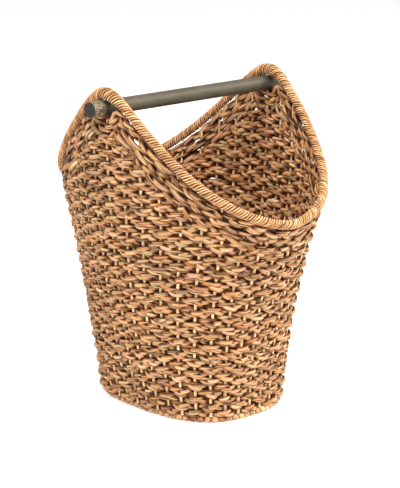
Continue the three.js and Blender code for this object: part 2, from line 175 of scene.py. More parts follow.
def quarter_at(z):
    """Angles of a quarter of the oval, from a crown to a dip, and the wall's run up to each."""
    key = round(z / MM, 1)
    if key not in quarters:
        half_x, half_y, power = oval_at(key * MM)
        share = np.linspace(0, 1, OUTLINE_STEPS + 1)
        angles = math.pi / 2 * share * share * (3 - 2 * share)
        x = half_x * np.clip(np.cos(angles), 0, 1) ** (2 / power)
        y = half_y * np.clip(np.sin(angles), 0, 1) ** (2 / power)
        runs = np.concatenate([[0], np.cumsum(np.hypot(np.diff(x), np.diff(y)))])
        quarters[key] = angles, runs
    return quarters[key]


def place_on_wall(turn, z):
    """Angle and signs of the point where a stake's line crosses height z."""
    angles, runs = quarter_at(z)
    spread = quarter_at(min(z, DIP_HEIGHT))[1][-1]
    crown = math.floor(turn * 2 + 0.5) / 2
    run = (turn - crown) * 4 * spread
    crown_sign = 1 if math.floor(turn * 2 + 0.5) % 2 == 0 else -1
    past = abs(run) > runs[-1]
    reach = 2 * runs[-1] - abs(run) if past else abs(run)
    angle = float(np.interp(reach, runs, angles))
    side = int(np.sign(run))
    return angle, (-crown_sign if past else crown_sign), crown_sign * side


def wall_point(turn, z, offset=0.0):
    """A point of the wall and the level direction out of it."""
    half_x, half_y, power = oval_at(z)
    angle, sign_x, sign_y = place_on_wall(turn, z)
    x = half_x * max(math.cos(angle), 0) ** (2 / power)
    y = half_y * max(math.sin(angle), 0) ** (2 / power)
    out_x = (x / half_x) ** (power - 1) / half_x
    out_y = (y / half_y) ** (power - 1) / half_y
    outward = Vector((sign_x * out_x, sign_y * out_y, 0)).normalized()
    return Vector((sign_x * x, sign_y * y, z)) + outward * offset, outward


def lean_at(turn, z, outward):
    """The way square out of the leaning wall, and how much longer the wall is there than high."""
    above = wall_point(turn, z + LEAN_REACH)[0]
    below = wall_point(turn, z - LEAN_REACH)[0]
    slope = (above - below).dot(outward) / (2 * LEAN_REACH)
    square = outward - Vector((0, 0, slope))
    return square.normalized(), square.length


def rim_height_at(angle):
    """Height of the rim's centreline at an angle of the oval."""
    across = math.hypot(math.sin(angle), CROWN_ROUNDING) - CROWN_ROUNDING
    near = max(math.cos(angle), 0) ** CROWN_FALL
    far = CROWN_STEEPNESS * across**CROWN_FALL
    return DIP_HEIGHT + (CROWN_HEIGHT - DIP_HEIGHT) * near / (near + far)


rim_heights = {}


def rim_height(turn):
    """Height of the rim's centreline where it crosses a stake's line, found by halving."""
    key = round(turn % 1, 6)
    if key not in rim_heights:
        low = DIP_HEIGHT - RIM_MARGIN
        high = CROWN_HEIGHT + RIM_MARGIN
        for _ in range(RIM_HALVINGS):
            middle = (low + high) / 2
            if rim_height_at(place_on_wall(key, middle)[0]) > middle:
                low = middle
            else:
                high = middle
        rim_heights[key] = low
    return rim_heights[key]


def rim_point(turn):
    return wall_point(turn, rim_height(turn))


def rim_slant(turn):
    """Drop along Z that moves a point one unit away from the sloping rim."""
    reach = 1 / (4 * STAKES)
    before = rim_point(turn - reach)[0]
    after = rim_point(turn + reach)[0]
    run = math.hypot(after.x - before.x, after.y - before.y)
    return math.hypot(1, (after.z - before.z) / run)


def below_rim(turn, distance):
    return rim_height(turn) - rim_slant(turn) * distance


def eye_sill(turn):
    """Floor of the eye: level under the rod, then climbing beside it."""
    beside = abs(wall_point(turn, ROD_HEIGHT)[0].y) - ROD_RADIUS
    climb = max(beside, 0) / (EYE_HALF_WIDTH - ROD_RADIUS)
    return ROD_HEIGHT - ROD_RADIUS - SEAM + EYE_RISE * climb * climb


def border_level(turn, ropes):
    """Height of the border after so many ropes, counted from the rim down."""
    depth = ropes * BORDER_PITCH
    return min(below_rim(turn, RIM_RADIUS + RIM_GAP + depth), eye_sill(turn) - depth)


# Paths of the ropes
# A point of a path is its place, the way out of the wall, its swell and how far it is off the wall.


def ease(value, low, high):
    """A smooth climb from 0 at the low value to 1 at the high one."""
    share = min(max((value - low) / (high - low), 0), 1)
    return share * share * (3 - 2 * share)


def crown_distance(turn):
    """0 at a crown and 1 at a dip."""
    return abs((turn * 2 + 0.5) % 1 - 0.5) * 2


def row_level(height, turn):
    """Height of a woven row: tilted, sagging towards the dips and arched under the eyes."""
    towards_dip = 1 - math.cos(math.pi * ease(crown_distance(turn), SAG_START, 1.0))
    sag = ROW_SAG * ease(height, 0, SAG_FULL_HEIGHT) * towards_dip / 2
    sag -= ROW_TILT * ease(height, 0, TILT_FULL_HEIGHT) * math.cos(2 * math.pi * (turn - TILT_TURN))
    fade = math.exp(-max(ARCH_TOP - height, 0) / ARCH_FADE)
    arch = ROW_ARCH * fade * min(crown_distance(turn) / ARCH_REACH, ARCH_LIMIT)
    return height - sag - arch


def uneven(seed, amount):
    """A wobble along a rope, with a value of its own at each stake, as a function of the step."""
    dice = random.Random(seed)
    values = [dice.uniform(-amount, amount) for _ in range(STAKES)]

    def at(step):
        stake = step // STEPS_PER_STAKE
        share = ease(step / STEPS_PER_STAKE - stake, 0, 1)
        here = values[stake % STAKES]
        return here + (values[(stake + 1) % STAKES] - here) * share

    return at


def row_spans(height, index):
    """First and last step of each stretch of a row under the border, and whether it has ends."""
    count = STAKES * STEPS_PER_STAKE
    inside = []
    for step in range(count):
        turn = step / count
        inside.append(row_level(height, turn) < border_level(turn, BORDER_ROPES) + ROW_PITCH / 2)
    if all(inside):
        first = (index * ROW_STAGGER % STAKES) * STEPS_PER_STAKE
        return [(first, first + count + STEPS_PER_STAKE)], False
    spans = []
    for start in [step for step in range(count) if inside[step] and not inside[step - 1]]:
        end = start
        while inside[end % count]:
            end += 1
        if end - start >= STEPS_PER_STAKE:
            spans.append((start, end))
    return spans, True


def row_path(height, index, start, end, has_ends, shift, bulge):
    """One stretch of a row, which swings from side to side of the wall between stakes."""
    path = []
    for step in range(start, end):
        turn = step / (STAKES * STEPS_PER_STAKE)
        swing = math.cos(math.pi * (step / STEPS_PER_STAKE + index))
        from_end = min(step - start, end - 1 - step) / STEPS_PER_STAKE
        hold = ease(from_end, 0, ROW_END_TUCK) if has_ends else 1
        offset = ROW_SWING * swing * hold
        z = row_level(height, turn % 1) + shift(step)
        point, outward = wall_point(turn % 1, z, offset)
        square, stretch = lean_at(turn % 1, z, outward)
        swell = (1 - ROW_SQUEEZE + ROW_SQUEEZE * swing * swing + bulge(step)) * stretch
        path.append((point, square, swell, offset))
    return path


def woven_rows():
    """Height and path of each row: a ring below the dips, and an arc at each crown above them."""
    rows = []
    height = FIRST_ROW
    index = 0
    while height < ROWS_TOP:
        spans, has_ends = row_spans(height, index)
        shift = uneven(f"shift {index}", ROW_SHIFT)
        bulge = uneven(f"bulge {index}", ROW_BULGE)
        for start, end in spans:
            rows.append((height, row_path(height, index, start, end, has_ends, shift, bulge)))
        height += ROW_PITCH
        index += 1
    return rows


def border_paths():
    """The border's ropes, which follow the rim and pass under the eyes."""
    paths = []
    count = STAKES * STEPS_PER_STAKE
    for rope in range(BORDER_ROPES):
        path = []
        shift = uneven(f"border shift {rope}", BORDER_SHIFT)
        bulge = uneven(f"border bulge {rope}", ROW_BULGE)
        first = (BORDER_START + BORDER_STAGGER * rope) * STEPS_PER_STAKE
        for step in range(first, first + count + STEPS_PER_STAKE):
            turn = (step / count) % 1
            z = (border_level(turn, rope) + border_level(turn, rope + 1)) / 2
            z += BORDER_LIFT * rim_slant(turn) * (1 - rope / BORDER_ROPES) + shift(step)
            offset = BORDER_SWING * math.cos(math.pi * (step / STEPS_PER_STAKE + rope))
            point, outward = wall_point(turn, z, offset)
            square, stretch = lean_at(turn, z, outward)
            path.append((point, square, (1 + bulge(step)) * stretch, offset))
        paths.append(path)
    return paths


def upright_paths():
    """Every stake from the foot up into the rim, or into the border where an eye is over it."""
    paths = []
    for stake in range(STAKES):
        turn = stake / STAKES
        top = below_rim(turn, RIM_RADIUS - UPRIGHT_TUCK)
        if abs(wall_point(turn, ROD_HEIGHT)[0].y) < EYE_HALF_WIDTH:
            top = border_level(turn, 0) - UPRIGHT_TUCK
        border = border_level(turn, BORDER_ROPES)
        path = []
        for z in np.linspace(FOOT_HEIGHT, top, UPRIGHT_POINTS):
            behind = UPRIGHT_LEAN * ease(z, border - ROW_PITCH, border + ROW_PITCH)
            point, outward = wall_point(turn, float(z), -behind)
            path.append((point, outward, 1.0 if z < border else UPRIGHT_THINNED, 0.0))
        paths.append(path)
    return paths


def rim_path():
    """The rim's centreline. Over the crowns its twine is doubled, and reaches in towards the rod."""
    path = []
    for step in range(RIM_STEPS + 1):
        turn = step / RIM_STEPS % 1
        point, outward = rim_point(turn)
        nearest = min(turn % 0.5, 0.5 - turn % 0.5)
        inward = Vector((0, -point.y, ROD_HEIGHT - point.z))
        room = inward.length - ROD_RADIUS - TWINE_CLEARANCE - TWINE_LIE - TWINE_RADIUS
        fill = min(max(room, 0), CROWN_FILL) * (1 - ease(nearest, CROWN_FILL_FROM, CROWN_FILL_TO))
        point += inward.normalized() * fill / 2
        path.append((point, outward, 1 + fill / 2 / TWINE_LIE, 0.0))
    return path


def foot_path():
    """A ring of beads, pinched where one meets the next."""
    count = STAKES * BEADS_PER_STAKE * STEPS_PER_BEAD
    path = []
    for step in range(count + 1):
        point, outward = wall_point(step / count % 1, 0, -FOOT_INSET)
        point.z = FOOT_HEIGHT / 2
        from_middle = 2 * (step / STEPS_PER_BEAD % 1) - 1
        path.append((point, outward, math.sqrt(1 - (BEAD_PINCH * from_middle) ** 2), 0.0))
    return path


def floor_paths():
    """Ropes laid side by side across the floor, each woven against the next."""
    paths = []
    up = Vector((0, 0, 1))
    half_x = BASE_HALF_X - FLOOR_INSET
    half_y = BASE_HALF_Y - FLOOR_INSET
    count = math.floor(half_y / FLOOR_PITCH)
    for index in range(-count, count + 1):
        y = index * FLOOR_PITCH
        end = half_x * (1 - abs(y / half_y) ** BASE_SQUARENESS) ** (1 / BASE_SQUARENESS)
        path = []
        for x in np.linspace(-end, end, max(round(2 * end / FLOOR_STEP), FLOOR_LEAST_POINTS)):
            lift = FLOOR_SWING * math.cos(math.pi * (x / (2 * FLOOR_PITCH) + index))
            path.append((Vector((x, y, FLOOR_HEIGHT + lift)), up, 1.0, lift))
        paths.append(path)
    return paths


# Node trees


class Graph:
    """Adds nodes to a tree. An input is given a socket to link, or a plain value."""

    def __init__(self, tree):
        self.tree = tree

    def node(self, kind, inputs=(), **settings):
        made = self.tree.nodes.new(kind)
        for name, value in settings.items():
            setattr(made, name, value)
        pairs = inputs.items() if isinstance(inputs, dict) else enumerate(inputs)
        for key, value in pairs:
            if isinstance(value, bpy.types.NodeSocket):
                self.tree.links.new(value, made.inputs[key])
            else:
                made.inputs[key].default_value = value
        return made

    def math(self, operation, *values):
        return self.node("ShaderNodeMath", values, operation=operation).outputs[0]

    def product(self, first, *others):
        for other in others:
            first = self.math("MULTIPLY", first, other)
        return first

    def total(self, first, *others):
        for other in others:
            first = self.math("ADD", first, other)
        return first

    def stretched(self, value, times, plus):
        return self.math("MULTIPLY_ADD", value, times, plus)

    def blend(self, first, second, share):
        """The first value where the share is 0, and the second where it is 1."""
        return self.stretched(self.math("SUBTRACT", second, first), share, first)

    def vector(self, operation, *values):
        made = self.node("ShaderNodeVectorMath", values, operation=operation)
        return made.outputs["Value" if operation in ("DOT_PRODUCT", "LENGTH") else "Vector"]

    def scaled(self, vector, factor):
        return self.node("ShaderNodeVectorMath", {0: vector, 3: factor}, operation="SCALE").outputs[0]

    def combine(self, x, y, z):
        return self.node("ShaderNodeCombineXYZ", (x, y, z)).outputs[0]

    def noise(self, vector, scale, detail=1.0):
        inputs = {"Vector": vector, "Scale": scale, "Detail": detail}
        return self.node("ShaderNodeTexNoise", inputs).outputs[0]

    def wobble(self, vector, scale, detail=1.0):
        """Noise to both sides of 0."""
        return self.math("SUBTRACT", self.noise(vector, scale, detail), 0.5)

    def ramp(self, value, low, high, kind="SMOOTHSTEP"):
        """0 at the low value and 1 at the high one."""
        inputs = {"Value": value, "From Min": low, "From Max": high}
        return self.node("ShaderNodeMapRange", inputs, interpolation_type=kind).outputs[0]


def new_tree(name, sockets):
    """A geometry tree with the named inputs, as (name, socket type, default)."""
    tree = bpy.data.node_groups.new(name, "GeometryNodeTree")
    tree.interface.new_socket("Geometry", in_out="OUTPUT", socket_type="NodeSocketGeometry")
    tree.interface.new_socket("Geometry", in_out="INPUT", socket_type="NodeSocketGeometry")
    for label, kind, default in sockets:
        socket = tree.interface.new_socket(label, in_out="INPUT", socket_type=kind)
        if default is not None:
            socket.default_value = default
    graph = Graph(tree)
    return graph, graph.node("NodeGroupInput").outputs


def finish_tree(graph, geometry, material):
    whole = graph.node("GeometryNodeRealizeInstances", (geometry,)).outputs[0]
    inputs = {"Geometry": whole, "Material": material}
    painted = graph.node("GeometryNodeSetMaterial", inputs).outputs[0]
    graph.node("NodeGroupOutput", (painted,))
    return graph.tree


def read(graph, name, kind="FLOAT"):
    inputs = {"Name": name}
    return graph.node("GeometryNodeInputNamedAttribute", inputs, data_type=kind).outputs[0]


def store(graph, geometry, name, value, kind="FLOAT"):
    inputs = {"Geometry": geometry, "Name": name, "Value": value}
    settings = {"data_type": kind, "domain": "POINT"}
    return graph.node("GeometryNodeStoreNamedAttribute", inputs, **settings).outputs[0]


def drop(graph, geometry, *names):
    for name in names:
        inputs = {"Geometry": geometry, "Name": name}
        geometry = graph.node("GeometryNodeRemoveAttribute", inputs).outputs[0]
    return geometry


def copy_strands(graph, curve, amount):
    """Copies of each curve, which keep their number as ply and the path's own place as centre."""
    inputs = {"Geometry": curve, "Amount": amount}
    copies = graph.node("GeometryNodeDuplicateElements", inputs, domain="SPLINE")
    curve = store(graph, copies.outputs[0], "ply", copies.outputs[1])
    place = graph.node("GeometryNodeInputPosition").outputs[0]
    return store(graph, curve, "centre", place, "FLOAT_VECTOR")


def tube_along(graph, curve, sides, radius):
    """A tube on each curve, which keeps each corner's angle round the section as around."""
    inputs = {"Resolution": sides, "Radius": radius}
    circle = graph.node("GeometryNodeCurvePrimitiveCircle", inputs).outputs[0]
    share = graph.node("GeometryNodeSplineParameter").outputs["Factor"]
    section = store(graph, circle, "around", graph.product(share, 2 * math.pi))
    inputs = {"Curve": curve, "Profile Curve": section, "Fill Caps": True}
    return graph.node("GeometryNodeCurveToMesh", inputs).outputs[0]


def axes_beside(graph, tangent):
    """The way out of the wall and the way up it, both square to the path."""
    outward = read(graph, "outward", "FLOAT_VECTOR")
    lean = graph.vector("DOT_PRODUCT", outward, tangent)
    across = graph.vector("SUBTRACT", outward, graph.scaled(tangent, lean))
    across = graph.vector("NORMALIZE", across)
    return across, graph.vector("CROSS_PRODUCT", tangent, across)


# Noise in a rope: how far apart ropes and plies read it, where each kind starts, and its waves a metre
ROPE_LANE = 0.31
PLY_LANE = 0.17
WANDER_WAVES = 28.0
BULGE_LANE = (3.1, 7.7, 1.3)
BULGE_WAVES = 60.0
LOOSE_LANE = (9.3, 2.2, 5.9)
LOOSE_WAVES = 45.0
KINK_ROPE_LANE = 0.53
KINK_LANE = 0.4
KINK_WAVES = 18.0

# How many radians further round each rope starts than the last
ROPE_TURN = 2.4

# Shape and shade of a ply. Its first radius doesn't show, because each corner is then placed anew.
SECTION_RADIUS = 1 * MM
PLY_FLATNESS = 0.35
CREASE_SOFTNESS = 0.08
SHUT_OFF_WALL = 0.3 * MM
OPEN_OFF_WALL = 3 * MM
EDGE_START = 0.55

# Where each rope and ply reads the leaf's pattern, and how much of it goes round a ply
ROPE_PATTERN_STEP = 0.113
PLY_PATTERN_STEP = 0.071
PATTERN_WIDTH = 0.45
PATTERN_DEPTH = 0.6


def rope_angle(graph, given, lane):
    """How far each ply has turned in its rope."""
    along, ply, rope = (read(graph, name) for name in ("along", "ply", "rope"))
    turned = graph.math("DIVIDE", graph.product(along, 2 * math.pi), given["Lay"])
    ply_start = graph.math("DIVIDE", graph.product(ply, 2 * math.pi), given["Plies"])
    kink_lane = graph.combine(along, graph.product(rope, KINK_ROPE_LANE), KINK_LANE)
    kink = graph.wobble(kink_lane, KINK_WAVES)
    rope_start = graph.stretched(kink, given["Kink"], graph.product(rope, ROPE_TURN))
    wander = graph.wobble(lane, WANDER_WAVES)
    wander = graph.stretched(wander, given["Wander"], rope_start)
    return graph.total(turned, ply_start, wander)


def ply_place(graph, given, lane, cos_around, sin_around):
    """How far out and up each corner lies, where 1 is half the rope's depth or height."""
    angle = rope_angle(graph, given, lane)
    cos_twist = graph.math("COSINE", angle)
    sin_twist = graph.math("SINE", angle)
    flatness = graph.math("POWER", graph.math("ABSOLUTE", cos_around), PLY_FLATNESS)
    thickness = graph.product(cos_around, flatness, given["Ply Thickness"])
    sideways = graph.product(sin_around, given["Ply Width"])
    loose = graph.wobble(graph.vector("ADD", lane, LOOSE_LANE), LOOSE_WAVES)
    loose = graph.product(loose, given["Looseness"])
    seat = graph.total(graph.math("SUBTRACT", 1.0, given["Ply Thickness"]), loose)

    radial = graph.total(seat, thickness)
    twist_out = graph.product(radial, cos_twist)
    twist_out = graph.math("SUBTRACT", twist_out, graph.product(sideways, sin_twist))
    twist_rise = graph.total(graph.product(radial, sin_twist), graph.product(sideways, cos_twist))

    crossing = graph.math("SINE", graph.product(angle, 2.0))
    plait_out = graph.stretched(seat, crossing, thickness)
    room = graph.math("SUBTRACT", 1.0, given["Ply Width"])
    plait_rise = graph.stretched(room, sin_twist, sideways)

    out = graph.blend(twist_out, plait_out, given["Plaited"])
    rise = graph.blend(twist_rise, plait_rise, given["Plaited"])
    return out, rise


def rope_daylight(graph, given, out, rise, half_depth, sin_around):
    """1 in the open, and less inside a rope, in the middle of the wall and at a ply's edges."""
    reach = graph.math("SQRT", graph.stretched(out, out, graph.product(rise, rise)))
    reach = graph.product(reach, graph.blend(1.0, read(graph, "swell"), given["Pinch Shade"]))
    crease = graph.ramp(reach, given["Crease"], graph.total(given["Crease"], CREASE_SOFTNESS))
    off_wall = graph.math("ABSOLUTE", graph.stretched(out, half_depth, read(graph, "swing")))
    open_air = graph.ramp(off_wall, SHUT_OFF_WALL, OPEN_OFF_WALL)
    open_air = graph.blend(1.0, open_air, given["Swing Shade"])
    edge = graph.ramp(graph.math("ABSOLUTE", sin_around), EDGE_START, 1.0)
    edge = graph.math("SUBTRACT", 1.0, graph.product(edge, given["Edge Shade"]))
    return graph.product(crease, open_air, edge)


def rope_pattern(graph, given, cos_around, sin_around):
    """Where a corner lies in the leaf's pattern, which runs along the ply."""
    along, ply, rope = (read(graph, name) for name in ("along", "ply", "rope"))
    half_width = graph.product(given["Height"], PATTERN_WIDTH)
    through = graph.product(cos_around, graph.product(half_width, PATTERN_DEPTH))
    across = graph.product(sin_around, half_width)
    return graph.combine(
        along,
        graph.stretched(rope, ROPE_PATTERN_STEP, through),
        graph.stretched(ply, PLY_PATTERN_STEP, across),
    )


def rope_tree():
    """Plies of flat leaf along each path, twisted round it or plaited."""
    graph, given = new_tree(
        "leaf_rope",
        [
            ("Plies", "NodeSocketInt", ROW_PLIES),
            ("Lay", "NodeSocketFloat", ROW_LAY),
            ("Depth", "NodeSocketFloat", ROW_DEPTH),
            ("Height", "NodeSocketFloat", ROW_HEIGHT),
            ("Ply Thickness", "NodeSocketFloat", 0.5),
            ("Ply Width", "NodeSocketFloat", 0.56),
            ("Crease", "NodeSocketFloat", 0.45),
            ("Wander", "NodeSocketFloat", 1.6),
            ("Kink", "NodeSocketFloat", 3.0),
            ("Looseness", "NodeSocketFloat", 0.16),
            ("Swing Shade", "NodeSocketFloat", 0.95),
            ("Pinch Shade", "NodeSocketFloat", 0.0),
            ("Sides", "NodeSocketInt", 10),
            ("Unevenness", "NodeSocketFloat", 0.3),
            ("Plaited", "NodeSocketFloat", 1.0),
            ("Edge Shade", "NodeSocketFloat", 0.85),
            ("Material", "NodeSocketMaterial", None),
        ],
    )
    curve = graph.node("GeometryNodeMeshToCurve", (given["Geometry"],)).outputs[0]
    curve = copy_strands(graph, curve, given["Plies"])
    tangent = graph.node("GeometryNodeInputTangent").outputs[0]
    curve = store(graph, curve, "tangent", tangent, "FLOAT_VECTOR")
    length = graph.node("GeometryNodeSplineParameter").outputs["Length"]
    curve = store(graph, curve, "along", length)
    mesh = tube_along(graph, curve, given["Sides"], SECTION_RADIUS)

    along, ply, rope, around = (read(graph, name) for name in ("along", "ply", "rope", "around"))
    lane = graph.combine(along, graph.product(rope, ROPE_LANE), graph.product(ply, PLY_LANE))
    cos_around = graph.math("COSINE", around)
    sin_around = graph.math("SINE", around)
    out, rise = ply_place(graph, given, lane, cos_around, sin_around)
    bulge = graph.wobble(graph.vector("ADD", lane, BULGE_LANE), BULGE_WAVES, detail=2.0)
    size = graph.stretched(bulge, given["Unevenness"], 1.0)
    half_size = graph.product(read(graph, "swell"), graph.product(size, 0.5))
    half_depth = graph.product(given["Depth"], half_size)
    half_height = graph.product(given["Height"], half_size)
    across, upward = axes_beside(graph, read(graph, "tangent", "FLOAT_VECTOR"))
    offset = graph.vector(
        "ADD",
        graph.scaled(across, graph.product(out, half_depth)),
        graph.scaled(upward, graph.product(rise, half_height)),
    )
    position = graph.vector("ADD", read(graph, "centre", "FLOAT_VECTOR"), offset)
    mesh = graph.node("GeometryNodeSetPosition", {"Geometry": mesh, "Position": position}).outputs[0]

    # Daylight is painted into the leaf's colour as shade
    daylight = rope_daylight(graph, given, out, rise, half_depth, sin_around)
    mesh = store(graph, mesh, "daylight", daylight)
    strand = rope_pattern(graph, given, cos_around, sin_around)
    mesh = store(graph, mesh, "strand", strand, "FLOAT_VECTOR")
    mesh = drop(graph, mesh, "ply", "centre", "tangent", "along", "around")
    mesh = drop(graph, mesh, "outward", "swell", "rope", "swing")
    return finish_tree(graph, mesh, given["Material"])


# Noise in the twine: the rim's length in it, how far apart the strands read it, and its waves
TWINE_RIM_LENGTH = 80.0
TWINE_STRAND_LANE = 3.7
TWINE_WAVES = 3.0
SHUT_TWINE = 0.5 * MM
OPEN_TWINE = 1.4 * MM


def twine_tree():
    """Strands wound side by side round a path."""
    graph, given = new_tree(
        "wound_twine",
        [
            ("Strands", "NodeSocketInt", TWINE_STRANDS),
            ("Pitch", "NodeSocketFloat", TWINE_PITCH),
            ("Steps", "NodeSocketInt", TWINE_STEPS),
            ("Lie Radius", "NodeSocketFloat", TWINE_LIE),
            ("Strand Radius", "NodeSocketFloat", TWINE_RADIUS),
            ("Sides", "NodeSocketInt", 6),
            ("Wander", "NodeSocketFloat", 1.2),
            ("Looseness", "NodeSocketFloat", 0.2),
            ("Material", "NodeSocketMaterial", None),
        ],
    )
    curve = graph.node("GeometryNodeMeshToCurve", (given["Geometry"],)).outputs[0]
    length = graph.node("GeometryNodeCurveLength", (curve,)).outputs[0]
    advance = graph.product(given["Strands"], given["Pitch"])
    wraps = graph.math("ROUND", graph.math("DIVIDE", length, advance))
    count = graph.product(wraps, given["Steps"])
    curve = graph.node("GeometryNodeResampleCurve", {"Curve": curve, "Count": count}).outputs[0]
    curve = copy_strands(graph, curve, given["Strands"])

    across, upward = axes_beside(graph, graph.node("GeometryNodeInputTangent").outputs[0])
    factor = graph.node("GeometryNodeSplineParameter").outputs["Factor"]
    ply = read(graph, "ply")
    turned = graph.product(factor, wraps, -2 * math.pi)
    strand_start = graph.math("DIVIDE", graph.product(ply, 2 * math.pi), given["Strands"])
    along_lane = graph.product(factor, TWINE_RIM_LENGTH)
    lane = graph.combine(along_lane, graph.product(ply, TWINE_STRAND_LANE), 0.0)
    wander = graph.wobble(lane, TWINE_WAVES)
    angle = graph.total(turned, strand_start, graph.product(wander, given["Wander"]))
    lie = graph.product(given["Lie Radius"], read(graph, "swell"))
    lie = graph.product(lie, graph.stretched(wander, given["Looseness"], 1.0))
    offset = graph.vector(
        "ADD",
        graph.scaled(across, graph.product(graph.math("COSINE", angle), lie)),
        graph.scaled(upward, graph.product(graph.math("SINE", angle), lie)),
    )
    curve = graph.node("GeometryNodeSetPosition", {"Geometry": curve, "Offset": offset}).outputs[0]
    wound_length = graph.node("GeometryNodeSplineParameter").outputs["Length"]
    curve = store(graph, curve, "along", wound_length)
    mesh = tube_along(graph, curve, given["Sides"], given["Strand Radius"])

    around = read(graph, "around")
    through = graph.product(graph.math("COSINE", around), given["Strand Radius"])
    beside = graph.product(graph.math("SINE", around), given["Strand Radius"])
    beside = graph.stretched(read(graph, "ply"), PLY_PATTERN_STEP, beside)
    strand = graph.combine(read(graph, "along"), through, beside)
    mesh = store(graph, mesh, "strand", strand, "FLOAT_VECTOR")
    place = graph.node("GeometryNodeInputPosition").outputs[0]
    span = graph.vector("SUBTRACT", place, read(graph, "centre", "FLOAT_VECTOR"))
    lie_here = graph.product(read(graph, "swell"), given["Lie Radius"])
    height = graph.math("SUBTRACT", graph.vector("LENGTH", span), lie_here)
    # Daylight is painted into the twine's colour as shade between its strands
    mesh = store(graph, mesh, "daylight", graph.ramp(height, SHUT_TWINE, OPEN_TWINE))
    mesh = drop(graph, mesh, "ply", "along", "around", "outward")
    mesh = drop(graph, mesh, "swell", "rope", "swing", "centre")
    return finish_tree(graph, mesh, given["Material"])


# Materials

# Colours of dried leaf, on a scale from 0 to 1 on which each leaf draws its place
LEAF_TONES = (
    (0.0, (0.53, 0.22, 0.08, 1)),
    (0.15, (0.78, 0.375, 0.155, 1)),
    (0.32, (0.88, 0.49, 0.225, 1)),
    (0.48, (0.80, 0.46, 0.205, 1)),
    (0.62, (0.90, 0.47, 0.265, 1)),
    (0.8, (1.0, 0.67, 0.355, 1)),
    (1.0, (0.90, 0.385, 0.15, 1)),
)
STRAW = (0.86, 0.65, 0.36)

# Waves a metre in a leaf, along it and then both ways across it
FIBRE_WAVES = (40.0, 900.0, 900.0)
BLOTCH_WAVES = (90.0, 160.0, 160.0)
CRACK_WAVES = (24.0, 330.0, 330.0)
PATCH_WAVES = 14.0
CRACK_RAMP = (0.36, 0.46)
BLOTCH_HEIGHT = 0.3

# Powers by which green and blue fade in the painted shade of a hollow, where red has 1
HOLLOW_GREEN = 1.3
HOLLOW_BLUE = 1.6

# What is special in each material of leaf, cane and twine
LEAVES = {
    "plaited_leaf": {"Shade": 0.8, "Cracks": 0.7},
    "border_leaf": {"Leaf Length": 90 * MM, "Leaf Width": 6 * MM, "Shade": 0.76, "Cracks": 0.9},
    "bead_leaf": {"Leaf Length": 9 * MM, "Leaf Width": 20 * MM, "Cracks": 0.4},
    # Cane darkened to painted shade, for the hoop and core under the twine, seen between its wraps
    "cane_in_painted_shade": {"Leaf Length": 200 * MM, "Leaf Width": 20 * MM, "Shade": 0.3},
    "cane": {"Leaf Length": 200 * MM, "Leaf Width": 20 * MM, "Shade": 1.3, "Pale": 0.6},
    "straw_twine": {
        "Leaf Length": 30 * MM,
        "Leaf Width": 3 * MM,
        "Shade": 1.1,
        "Pale": 0.15,
        "Cracks": 0.3,
    },
}

# Rod: painted shadow where it passes under the eyes, by distance from its middle, and painted sheen
# where its near end is lit
EYE_SHADOW_STARTS = (128 * MM, 139 * MM)
EYE_SHADOW_ENDS = (147 * MM, 152 * MM)
EYE_SHADOW_STRENGTH = 0.55
# Painted sheen on the near end, with painted highlight glints
SHEEN_END = (-146 * MM, -154 * MM)
SHEEN_LIGHTER = 0.15
GLINT_RAMP = (0.53, 0.62)
GLINT = (0.48, 0.37, 0.2)
SPECK_WAVES = 700.0
CLOUD_WAVES = 60.0
CLOUD_SHAPE = (0.5, 1.0, 1.0)
CLOUD_SHARE = 0.4
ROD_TONES = ((0.38, (0.075, 0.066, 0.043, 1)), (0.62, (0.13, 0.108, 0.073, 1)))

# Plug: its grain, and how much green and blue it has against red
PLUG_GRAIN_WAVES = 420.0
PLUG_GREEN = 0.86
PLUG_BLUE = 0.72


def tones_of(graph, value, stops):
    """Colour between stops, each a position and a colour."""
    made = graph.node("ShaderNodeValToRGB", (value,))
    elements = made.color_ramp.elements
    while len(elements) < len(stops):
        elements.new(1.0)
    for element, (position, color) in zip(elements, stops):
        element.position = position
        element.color = color
    return made.outputs[0]


def bump(graph, height, strength, distance):
    inputs = {"Strength": strength, "Distance": distance, "Height": height}
    return graph.node("ShaderNodeBump", inputs).outputs[0]


